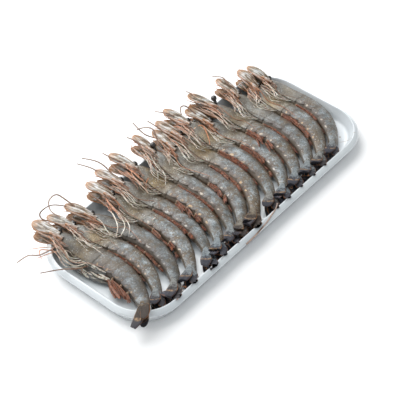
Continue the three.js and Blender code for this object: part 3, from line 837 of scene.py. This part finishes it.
eye_finish = eye_jelly()
for number, lie in enumerate(lies):
    parts = []
    for hand in (1, -1):
        at = lie.bend(Vector((BROW - 1, 3.4, hand * 4)))
        if hand > 0 and number in CLEAR_EYES:
            at = Vector(CLEAR_EYES[number])
        ball = bmesh.new()
        bmesh.ops.create_icosphere(ball, subdivisions=3, radius=EYE_RADIUS)
        bmesh.ops.translate(ball, verts=ball.verts, vec=at)
        root = lie.bend(Vector((BROW + 4, 2.6, hand * 2.2)))
        parts += [ball, limb([root, root.lerp(at, 0.6), at], EYE_STALK_RADII)]
    prawn_layer(number, "eyes", parts, eye_finish)


# Walking legs
# Five pairs of thin jointed legs hang from the chest. On a dead prawn they fold forward in a loose
# sheaf over the belly side and the next prawn's back: clear cream chitin with orange joints and tips.

LEG_PAIRS = 5
LEG_SPACING = 3.6
LEG_LANE = 2.7
LEG_RADII = [0.85, 0.65, 0.55, 0.5, 0.4, 0.22]
ORANGE_LEGS = {3: 0.4, 5: 0.3, 9: 0.2, 11: 0.15}
# Legs that lie loose over the next prawn: how orange, then their joints in the dish.
LOOSE_LEGS = {
    0: [
        (0.9, [
            (-158, 44, 19), (-166, 50, 22), (-170, 58, 22), (-174, 63, 22), (-178, 61, 22), (-181, 55, 21),
        ]),
        (0.7, [(-158, 48, 19), (-171, 53, 22), (-184, 59, 21)]),
        (0.6, [(-158, 52, 20), (-170, 62, 23), (-181, 72, 22)]),
    ],
    1: [(0, [(-140, 14, 22), (-141, 27, 25), (-141, 45, 25)])],
    2: [
        (0, [(-117, 20, 22), (-118, 28, 26), (-112, 42, 26), (-113, 50, 26)]),
        (0, [(-115, 20, 22), (-107, 25, 26), (-98, 39, 26), (-97, 47, 26)]),
        (0, [(-111, 17, 23), (-102, 20, 26), (-95, 32, 26)]),
        (0.1, [(-105, 12, 23), (-99, 17, 26), (-94, 28, 26)]),
    ],
    5: [
        (0.1, [(-39, 34, 22), (-30, 41, 27), (-23, 51, 27)]),
        (0.1, [(-34, 28, 22), (-26, 35, 27), (-21, 46, 27)]),
        (0.9, [(-52, 34, 22), (-46, 43, 26), (-30, 48, 27)]),
    ],
    8: [(0.9, [(21, 47, 24), (38, 55, 29), (53, 54, 28), (46, 40, 27), (38, 30, 25)])],
    11: [(0.2, [(84, 60, 26), (82, 72, 30), (80, 84, 31), (81, 92, 32)])],
}


def leg_chitin():
    """Leg shell: clear cream over white flesh, turning orange at the joints and brown at the tips."""
    material, node, shader = new_finish(
        "prawn_leg_chitin", Roughness=0.32, IOR=1.45, Coat_Weight=0.4, Coat_Roughness=0.12,
        Subsurface_Weight=0.1, Subsurface_Scale=0.002,
    )
    place = node("TexCoord").outputs["Object"]
    along = node("SeparateXYZ", [node("UVMap", uv_map="along")]).outputs["X"]
    tone = node("SeparateXYZ", [node("UVMap", uv_map="bands")]).outputs["X"]
    mottle = node("TexNoise", {"Vector": place, "Scale": 380, "Detail": 3})
    cream = node("ValToRGB", [mottle], stops=[(0.3, "#8d826f"), (0.7, "#e5e2da"), (0.5, "#c9c1b2")])
    orange = node("ValToRGB", [mottle], stops=[(0.3, "#a0522e"), (0.7, "#d9925f")])
    reach = node("Math", [tone, 0.9, along], operation="MULTIPLY_ADD")
    tip = node("MapRange", [reach, 0.75, 1.25, 0, 0.9])
    coloured = node("Mix", {0: tip, 6: cream, 7: orange})
    joint_wave = node("Math", [along, 25.1], operation="MULTIPLY")
    joint_turn = node("Math", [joint_wave], operation="COSINE")
    joint = node("MapRange", [joint_turn, 0.85, 1, 0, 0.4])
    jointed = node("Mix", {0: joint, 6: coloured, 7: "#94603f"})
    fill(shader, {"Base Color": jointed})
    return material


leg_finish = leg_chitin()
for number, lie in enumerate(lies):
    rooms = rooms_under(number)
    draw = random.Random(200 + number)
    sheaf_curl = draw.uniform(-1, 2.5)
    parts = []
    for pair in range(LEG_PAIRS):
        for hand in (1, -1):
            base = NECK - 4 - LEG_SPACING * pair
            lane = LEG_LANE * (LEG_PAIRS - 1 - pair) + (0 if hand > 0 else LEG_LANE / 2) + draw.uniform(-1, 1)
            high = 6 if hand > 0 else 2.5
            reach = draw.uniform(29, 41) - 1.5 * pair
            curl = sheaf_curl + draw.uniform(-3, 3)
            joints = [
                Vector((base, -11, hand * 2.2)),
                Vector((base - 2.5, -13.6 - 0.4 * lane, hand * 1.5 + 2)),
                Vector((base - 9, -14.6 - 0.9 * lane, high)),
                Vector((base - 0.45 * reach, -14.6 - lane, high + 0.5)),
                Vector((base - 0.75 * reach, -12.4 - 0.9 * lane - curl, high + 0.5)),
                Vector((base - reach, -9 - 0.8 * lane - 2.4 * curl, high)),
            ]
            for joint in joints[2:]:
                joint.x += draw.uniform(-2.5, 2.5)
                joint.y += draw.uniform(-2.6, 2.6)
            places = [lie.bend(joints[0]), lie.bend(joints[1])]
            places += [clear_of(rooms, lie.bend(joint), 1 + draw.uniform(0, 2.6)) for joint in joints[2:]]
            tone = ORANGE_LEGS.get(number, 0) + (draw.uniform(0, 0.2) if pair < 3 else draw.uniform(0.1, 0.5))
            parts.append(limb(places, LEG_RADII, tone=tone, sides=6))
    for tone, route in LOOSE_LEGS.get(number, []):
        places = [clear_of(rooms, Vector(place), 0.8) for place in route]
        radii = [0.4] + [0.55] * (len(route) - 2) + [0.25]
        parts.append(limb(places, radii, tone=tone, sides=6))
    prawn_layer(number, "walking_legs", parts, leg_finish)


# Leg roots
# The first prawn lies with its chest's underside showing. The first joints of its legs and the edges
# of its gills lie there in a striped bundle: pale leg shell between dark strips of wet flesh.

ROOT_STRANDS = 24
ROOT_RADII = [0.5, 1.1, 1.2, 0.9, 0.35]


def root_strand(share, draw):
    """One strand of the bundle. The share is its place from the chest out to the dish's floor."""
    begin = draw.uniform(-9, 12)
    length = draw.uniform(18, 34)
    route = []
    for step in range(5):
        y = begin + length * step / 4
        outer = -155.5 - 6.5 * smoothly(y, -10, 10)
        x = -151 + (outer + 151) * share + draw.uniform(-0.8, 0.8)
        route.append(clear_of([dish_room, bodies[0]], Vector((x, y, 16 - 9 * share)), 0.6))
    return limb(route, ROOT_RADII)


root_draw = random.Random(250)
dark_strands, pale_strands = [], []
for strand in range(ROOT_STRANDS):
    chosen = pale_strands if strand % 3 == 0 else dark_strands
    chosen.append(root_strand(strand / (ROOT_STRANDS - 1), root_draw))
gills = prawn_layer(OVER_RIM, "gill_edges", dark_strands, chitin)
pass_on(gills, "golden", 0.4)
pass_on(gills, "dark", 1.3)
prawn_layer(OVER_RIM, "leg_roots", pale_strands, leg_finish)


# Swimming limbs
# Under each of the first five rings hangs a pair of short stems, each with two or three flat fringed
# paddles. They fold back along the belly and overlap: red-brown, the stems paler with yellow spots.

SWIMMER_COUNT = 5
SWIMMER_LENGTH = 17
SWIMMER_WIDTHS = (3, 2.6, 2)
SWIMMER_THICKNESS = 1.1
STEM_RADII = [1.3, 1.5, 1.1]
SWIMMER_SLANT = 2
# For each prawn: the height of its swimmers over its middle, how far they reach out past the belly,
# their width and length as shares of the usual ones, and which pairs show. The others are tucked
# under the body.
SWIMMERS = [
    (2, 2.4, 1, 1.5, (2, 3, 4)), (0.8, 0, 0.55, 1, (0, 1, 2, 3)), (-1, 0, 0.5, 1, (1, 2)),
    (3.2, 1, 1, 1, (1, 3)), (1.6, 0, 0.75, 1, (0, 1, 2, 3, 4)), (3.4, 1, 0.9, 1, (1, 2, 3)),
    (0.8, 0, 0.6, 1, (0, 1, 2, 3)), (2.4, 0, 0.8, 1, (1, 2, 3)), (1.4, 0, 0.65, 1.1, (0, 1, 2, 3)),
    (4, 0.5, 1.15, 1, (0, 1, 2)), (3.8, 0.5, 1.1, 1, (0, 1, 2)), (4, 1, 1.1, 1.1, (0, 1, 2)),
    (0.4, 0, 0.7, 1, (0, 1, 2)), (2.4, 0, 0.85, 1.2, (0, 1, 2, 3)), (1, 0, 0.7, 1, (0, 1, 2)),
]
TUCKED = -2.5
# Swimmers that spread out over the next prawn, and by how many degrees.
SPREAD_SWIMMERS = {
    (3, 1): -10, (5, 1): -16, (5, 2): -20, (7, 2): -14, (7, 3): -18, (8, 1): -10, (11, 1): -30, (11, 2): -18,
}
# The leaves of one swimmer of the first prawn hang out over the dish's floor: their root, heading in
# degrees, length and width.
HANGING_LEAVES = [
    ((-154, -5, 11), -112, 26, 6.5), ((-152.5, -9, 10), -107, 26, 5), ((-155, -6, 9), -118, 21, 4.5),
]


def swimmer_chitin():
    """A swimming paddle: thin wet chitin, deep red-brown from crowded pigment, paler and ragged at
    its fringe, on a cream stem with yellow spots."""
    material, node, shader = new_finish(
        "prawn_swimmer_chitin", Roughness=0.45, Specular_IOR_Level=0.3, Coat_Weight=0.3, Coat_Roughness=0.1,
    )
    place = node("TexCoord").outputs["Object"]
    along = node("SeparateXYZ", [node("UVMap", uv_map="along")])
    tone = node("SeparateXYZ", [node("UVMap", uv_map="bands")]).outputs["X"]
    mottle = node("TexNoise", {"Vector": place, "Scale": 420, "Detail": 4, "Roughness": 0.7})
    red = node("ValToRGB", [mottle], stops=[(0.34, "#26110a"), (0.7, "#a15430"), (0.5, "#5e2a18")])
    cream = node("ValToRGB", [mottle], stops=[(0.32, "#6d5a49"), (0.7, "#bfae96"), (0.5, "#94836f")])
    mixed = node("Mix", {0: tone, 6: red, 7: cream})
    # Bristles run along each paddle, drawn as streaks about 1 mm wide so that they show.
    streaks = node("Math", [along.outputs["Y"], 12], operation="MULTIPLY")
    bent = node("Math", [mottle, 5, streaks], operation="MULTIPLY_ADD")
    wave = node("Math", [bent], operation="SINE")
    streak = node("MapRange", [wave, 0.3, 1, 0, 0.45])
    bristled = node("Mix", {0: streak, 6: mixed, 7: "#b5794d"})
    grain = node("Bump", {"Height": wave, "Strength": 0.4, "Distance": 0.0005})
    fill(shader, {"Base Color": bristled, "Normal": grain})
    return material


swimmer_finish = swimmer_chitin()
for number, lie in enumerate(lies):
    rooms = rooms_under(number)
    settle = settler(lie, rooms, 0.4)
    draw = random.Random(300 + number)
    parts = []
    lift, out, breadth, stretch, showing = SWIMMERS[number]
    start = NECK
    for pair, share in enumerate(RING_SHARES[:SWIMMER_COUNT]):
        start += share * (TAIL_ROOT - NECK)
        deep = measure(BELLY_DEPTH, start - 6)
        shown = pair in showing
        for hand in (1, -1):
            aside = (lift if hand > 0 else min(lift, 1)) if shown else TUCKED
            root = Vector((start - 8, -deep * 0.8, aside - 1))
            hip = Vector((start - 6, -deep * 0.92 - (out if shown else 0) - (0 if hand > 0 else 1.2), aside))
            stem = [lie.bend(root), lie.bend((root + hip) / 2), settle(hip)]
            parts.append(limb(stem, STEM_RADII, tone=0.7))
            for leaf in range(len(SWIMMER_WIDTHS)):
                length = (SWIMMER_LENGTH - 2.4 * pair + draw.uniform(-2, 1.5)) * stretch
                slant = SPREAD_SWIMMERS.get((number, pair), SWIMMER_SLANT)
                slant += draw.uniform(-4, 4) - 5 * (leaf - 1)
                hinge = hip + Vector((0, 0, 0.7 * (1 - leaf)))
                pose = pose_of([("Z", slant), ("X", draw.uniform(-20, 20))], hinge)
                width = (SWIMMER_WIDTHS[leaf] - 0.3 * pair) * breadth
                tone = draw.uniform(0, 0.2)
                parts.append(blade(
                    length, width, SWIMMER_THICKNESS, pose, settle, widest=0.5, tone=tone, sides=10, rings=9,
                ))
    if number == OVER_RIM:
        hang = partial(clear_of, rooms, gap=0.5)
        for place, heading, length, width in HANGING_LEAVES:
            pose = pose_of([("Z", heading)], place)
            parts.append(blade(length, width, 1.4, pose, hang, widest=0.55, tone=0.1, sides=10, rings=12))
    prawn_layer(number, "swimming_limbs", parts, swimmer_finish)


# Tail fans
# The tail ends in a pointed middle plate with two thin paddles hinged on each side, folded together.
# They are slate grey at the root, nearly black at the ends, with an orange-brown hem.

FAN_ROOT = TAIL_ROOT - 5
TELSON_LENGTH = 22
TELSON_WIDTH = 5.4
TELSON_THICKNESS = 3.6
OUTER_PADDLE = (29, 12.5)
INNER_PADDLE = (28, 10.5)
# How golden brown each fan is, how far its paddles are spread in degrees, and how far its dark ends
# reach up.
FAN_LOOKS = {0: (0.8, 15, 0.3), 3: (0.1, 9, 0.05), 7: (0.6, 5, 0.15), 8: (0.7, 6, 0.25), 9: (0.4, 7, 0.05)}
# The fans whose paddles reach out over the near rim, and their lengths as shares of the usual ones.
LONG_FANS = {2: 1.15, 4: 1.17, 8: 1.14}
# The first prawn's open fan hangs over the rim. For each paddle: its side, its turn and tilt in
# degrees, its length and width, and 1 for an outer paddle.
OPEN_FAN = [
    (1, -7, 8, 33, 12, 1), (-1, 13, -7, 23, 11.5, 1), (1, 8, -3, 22, 10.5, 0), (-1, 3, -3, 21, 10.5, 0),
]


def fan_chitin():
    """Tail-fan chitin: smoother and darker than the rings, slate grey to brown-black towards its
    ends, ribbed along, with a soft orange-brown hem."""
    material, node, shader = new_finish(
        "prawn_tail_fan_chitin", Roughness=0.6, Specular_IOR_Level=0.25, Coat_Weight=0.15, Coat_Roughness=0.1,
    )
    place = node("TexCoord").outputs["Object"]
    along = node("SeparateXYZ", [node("UVMap", uv_map="along")])
    brown = node("Attribute", attribute_name="brown").outputs["Fac"]
    mottle = node("TexNoise", {"Vector": place, "Scale": 260, "Detail": 4, "Roughness": 0.65})
    darkness = node("Attribute", attribute_name="darkness").outputs["Fac"]
    length = node("Math", [along.outputs["X"], darkness], operation="ADD")
    varied = node("Math", [mottle, 1.5, -0.35], operation="MULTIPLY_ADD")
    reach = node("Math", [varied, length], operation="ADD")
    coat = node("ValToRGB", [reach], stops=[(0.5, "#a3aeb3"), (1, "#42444e"), (0.88, "#7c868d")])
    tan = node("ValToRGB", [reach], stops=[(0.5, "#9a8560"), (1, "#473828"), (0.88, "#7b623f")])
    pepper = node("TexNoise", {"Vector": place, "Scale": 800, "Detail": 2, "Roughness": 0.7})
    pepper_share = node("MapRange", [pepper, 0.45, 0.62, 0, 0.45])
    outer = node("Math", [along.outputs["Y"]], operation="ABSOLUTE")
    hem = node("MapRange", [outer, 0.8, 0.93])
    far = node("MapRange", [reach, 0.55, 0.85, 0, 0.95])
    both = node("Math", [hem, far], operation="MULTIPLY")
    # The outer paddle has a pale joint line across it, and its leaf beyond the line is nearly black.
    is_outer = node("SeparateXYZ", [node("UVMap", uv_map="bands")])
    bowed = node("Math", [outer, 2], operation="POWER")
    bowed_place = node("Math", [bowed, 0.14, along.outputs["X"]], operation="MULTIPLY_ADD")
    joint_place = node("Math", [mottle, 0.16, bowed_place], operation="MULTIPLY_ADD")
    past = node("MapRange", [joint_place, 0.78, 0.84, 0, 0.75])
    past_share = node("Math", [past, is_outer], operation="MULTIPLY")
    past_line = node("Math", [joint_place, -0.76])
    from_line = node("Math", [past_line], operation="ABSOLUTE")
    on_line = node("MapRange", [from_line, 0.015, 0.07, 0.75, 0])
    line_kept = node("MapRange", [mottle, 0.42, 0.56])
    broken_line = node("Math", [on_line, line_kept], operation="MULTIPLY")
    line_share = node("Math", [broken_line, is_outer], operation="MULTIPLY")
    for share, tint in [
        (brown, tan), (pepper_share, "#383025"), (both, "#bd7f52"), (past_share, "#3b3c46"),
        (line_share, "#c2a07c"),
    ]:
        coat = node("Mix", {0: share, 6: coat, 7: tint})
    ribs = node("Math", [along.outputs["Y"], 28], operation="MULTIPLY")
    rib = node("Math", [ribs], operation="SINE")
    relief = node("Math", [mottle, 1.5, rib], operation="MULTIPLY_ADD")
    grain = node("Bump", {"Height": relief, "Strength": 0.8, "Distance": 0.0006})
    fill(shader, {"Base Color": coat, "Normal": grain})
    return material


def over_rim(point):
    """The point, raised onto the near rim where it would cut into it."""
    into_corner = max(0, abs(point.x) - (DISH_LENGTH / 2 - DISH_CORNER))
    rim = DISH_WIDTH / 2 - DISH_CORNER + math.sqrt(max(0, DISH_CORNER**2 - into_corner**2))
    inner = rim - RIM_WIDTH
    raised = smoothly(-point.y, inner - 5, inner - 0.5)
    point.z = max(point.z, DISH_FLOOR + (DISH_HEIGHT + 2 * GAP - DISH_FLOOR) * raised)
    return point


def fan_settler(number, lie, rooms):
    """A function that takes a place on a fan, also one beyond the prawn's tip, to the dish."""
    tip = lie.bend(Vector((PRAWN_LENGTH, 0, 0)))
    onward = (tip - lie.bend(Vector((PRAWN_LENGTH - 8, 0, 0)))).normalized()

    def settle(place):
        beyond = max(0, place.x - PRAWN_LENGTH) * lie.size
        at = clear_of(rooms, lie.bend(place) + onward * beyond, GAP)
        return at if number == OVER_RIM else over_rim(at)

    return settle


fan_finish = fan_chitin()
for number, lie in enumerate(lies):
    settle = fan_settler(number, lie, rooms_under(number, own=0))
    draw = random.Random(400 + number)
    usual = (draw.uniform(0, 0.4), draw.uniform(3, 9), draw.uniform(0, 0.15))
    brown, spread, darkness = FAN_LOOKS.get(number, usual)
    telson = pose_of([("Z", -2)], (FAN_ROOT, 1, 0))
    parts = [blade(TELSON_LENGTH, TELSON_WIDTH, TELSON_THICKNESS, telson, settle, widest=0.12, sides=12)]
    stretch = LONG_FANS.get(number, 1)
    paddles = []
    for hand in (1, -1):
        paddles.append((hand, -hand * spread - 4, -7, OUTER_PADDLE[0] * stretch, OUTER_PADDLE[1], 1))
        paddles.append((hand, hand * spread / 2 + 3, -3, INNER_PADDLE[0] * stretch, INNER_PADDLE[1], 0))
    for hand, turn, tilt, length, width, outer in OPEN_FAN if number == OVER_RIM else paddles:
        hinge = (FAN_ROOT, -1.5 * outer, 1.4 + outer)
        pose = pose_of([("Z", turn), ("Y", tilt), ("X", 20 + 4 * outer)], hinge, hand)
        thickness = 1.3 + 0.1 * outer
        parts.append(blade(length, width, thickness, pose, settle, widest=0.5 + 0.04 * outer, tone=outer))
    fan = prawn_layer(number, "tail_fan", parts, fan_finish)
    pass_on(fan, "brown", brown)
    pass_on(fan, "darkness", darkness)


# Feelers
# Each prawn has two long whip feelers and four short ones. The long ones that stand clear of the row
# curl over the rim, and the rest lie back over the bodies: thin, jointed, grey-brown to orange.

FEELER_RADIUS = 0.85
FEELER_END = 0.6
LYING_RADII = [0.55, 0.5, 0.4, 0.3, 0.2]
SHORT_RADII = [0.6, 0.45, 0.25]
CLEAR_FEELERS = {
    0: [
        [(-152, 48, 18), (-161, 53, 23), (-179, 58, 23), (-187, 67, 22), (-199, 70, 20)],
        [(-150, 20, 12), (-166, 21, 19), (-178, 31, 21), (-194, 44, 20)],
    ],
    1: [[(-135, 56, 21), (-141, 76, 24), (-148, 86, 28), (-144, 92, 30), (-131, 90, 31), (-121, 79, 29)]],
    2: [[(-113, 54, 21), (-116, 84, 30), (-119, 95, 33), (-129, 95, 32), (-136, 86, 30), (-136, 74, 29)]],
    4: [
        [(-62, 60, 21), (-65, 80, 25), (-66, 96, 28), (-71, 113, 28)],
        [(-60, 60, 21), (-56, 93, 29), (-62, 115, 28)],
    ],
    5: [[(-40, 80, 28), (-44, 93, 30), (-44, 103, 29)]],
    6: [[(-9, 78, 28), (-10, 90, 30), (-11, 100, 29)]],
    7: [
        [(13, 58, 21), (11, 76, 25), (5, 90, 28), (10, 111, 28)],
        [(4, 70, 26), (14, 86, 30), (11, 95, 30), (4, 100, 29)],
    ],
    8: [[(20, 72, 27), (20, 82, 29), (20, 89, 30), (21, 100, 29)]],
    9: [
        [(45, 84, 29), (41, 94, 30), (37, 104, 29)],
        # This one lies along the near rim.
        [
            (-36.2, -77.2, 13.5), (-28.4, -77.2, 13.8), (-17.1, -76.8, 14.3), (-3.2, -75.7, 15.7),
            (6.9, -73.9, 17), (16.9, -71.9, 17.9), (22.6, -69, 18.4),
        ],
    ],
    10: [[(63, 70, 27), (63, 84, 30), (57, 86, 31), (50, 79, 30)]],
    11: [[(82, 74, 29), (81, 90, 31), (81, 99, 30)]],
    12: [[(120, 66, 28), (120, 74, 29), (123, 84, 30), (118, 94, 29)]],
}


def feeler_chitin():
    """A whip feeler: hundreds of tiny rings, grey-brown turning orange in places."""
    material, node, shader = new_finish(
        "prawn_feeler_chitin", Roughness=0.4, Coat_Weight=0.3, Coat_Roughness=0.2,
    )
    place = node("TexCoord").outputs["Object"]
    tone = node("SeparateXYZ", [node("UVMap", uv_map="bands")]).outputs["X"]
    mottle = node("TexNoise", {"Vector": place, "Scale": 650, "Detail": 2})
    drab = node("ValToRGB", [mottle], stops=[(0.3, "#3f372f"), (0.7, "#776b5c")])
    orange = node("ValToRGB", [mottle], stops=[(0.3, "#9a4f2d"), (0.7, "#d38b5c")])
    tint = node("Mix", {0: tone, 6: drab, 7: orange})
    fill(shader, {"Base Color": tint})
    return material


feeler_finish = feeler_chitin()
for number, lie in enumerate(lies):
    rooms = rooms_under(number)
    draw = random.Random(500 + number)
    parts = []
    for route in CLEAR_FEELERS.get(number, []):
        points = [Vector(place) for place in route]
        last = len(points) - 1
        radii = [FEELER_RADIUS + (FEELER_END - FEELER_RADIUS) * step / last for step in range(last + 1)]
        parts.append(limb(points, radii, tone=0.2, sides=6, spans=6))
    lying = [
        (BROW - 4, -4, 5), (BROW + 10, -10 - draw.uniform(-3, 8), 8),
        (BROW + 26, -14 - draw.uniform(-6, 10), 7),
        (BROW + draw.uniform(38, 50), -12 + draw.uniform(-9, 12), 8),
        (BROW + draw.uniform(52, 74), -6 + draw.uniform(-12, 12), 9),
    ]
    points = [clear_of(rooms, lie.bend(Vector(place)), 1.2) for place in lying]
    parts.append(limb(points, LYING_RADII, tone=draw.random() ** 3 * 0.7, sides=6, spans=6))
    for hand in (1, -1):
        short = [
            (12, 0.6, hand * 1.4), (6, 1 + draw.uniform(-1, 2), hand * 2),
            (0.5, draw.uniform(-2, 5), hand * draw.uniform(1, 4)),
        ]
        parts.append(limb([lie.bend(Vector(place)) for place in short], SHORT_RADII, tone=0.6, sides=6))
    prawn_layer(number, "feelers", parts, feeler_finish)


# Table, light and camera
# The dish stands on a plain pale paper sweep. One large soft lamp behind it, a weak one on its left and
# an even pale room light it, and the camera looks down on it from its near left corner.

FLOOR_SIZE = 3
ROOM_COLOUR = (0.95, 0.98, 1, 1)
ROOM_BRIGHTNESS = 0.57
# For each lamp: its place and width in metres, and its power in watts. Both point at the dish.
LAMPS = {"key_light": ((0.05, 0.98, 1.04), 2.1, 37), "fill_light": ((-1, 0, 0.8), 1, 0.9)}
CAMERA_PLACE = Vector((-0.7598, -0.6287, 1.0092))
CAMERA_TARGET = Vector((-0.00945, 0.00359, 0))
CAMERA_LENS = 126


def white_paper():
    """Matt white paper, its pulp very faintly clouded."""
    material, node, shader = new_finish("white_paper", Roughness=0.9)
    pulp = node("TexNoise", {"Vector": node("TexCoord").outputs["Object"], "Scale": 9})
    sheet = node("ValToRGB", [pulp], stops=[(0.3, "#f9f9f9"), (0.7, "#fbfbfb")])
    fill(shader, {"Base Color": sheet})
    return material


def pointed(holder, place, target):
    """Puts a lamp or camera at a place, pointed at its target, into the scene."""
    holder.location = place
    holder.rotation_euler = (Vector(target) - Vector(place)).to_track_quat("-Z", "Y").to_euler()
    bpy.context.scene.collection.objects.link(holder)


floor_mesh = bmesh.new()
bmesh.ops.create_grid(floor_mesh, x_segments=2, y_segments=2, size=FLOOR_SIZE)
floor_data = bpy.data.meshes.new("floor")
floor_mesh.to_mesh(floor_data)
floor_mesh.free()
floor = bpy.data.objects.new("floor", floor_data)
bpy.context.scene.collection.objects.link(floor)
floor_data.materials.append(white_paper())

world = bpy.data.worlds.new("studio")
bpy.context.scene.world = world
world.use_nodes = True
fill(world.node_tree.nodes["Background"], {"Color": ROOM_COLOUR, "Strength": ROOM_BRIGHTNESS})

for name, (place, width, power) in LAMPS.items():
    light = bpy.data.lights.new(name, "AREA")
    light.shape = "DISK"
    light.size = width
    light.energy = power
    pointed(bpy.data.objects.new(name, light), place, (0, 0, 0))

view = bpy.data.cameras.new("camera")
view.lens = CAMERA_LENS
camera = bpy.data.objects.new("camera", view)
pointed(camera, CAMERA_PLACE, CAMERA_TARGET)
bpy.context.scene.camera = camera
bpy.context.scene.view_settings.view_transform = "Standard"
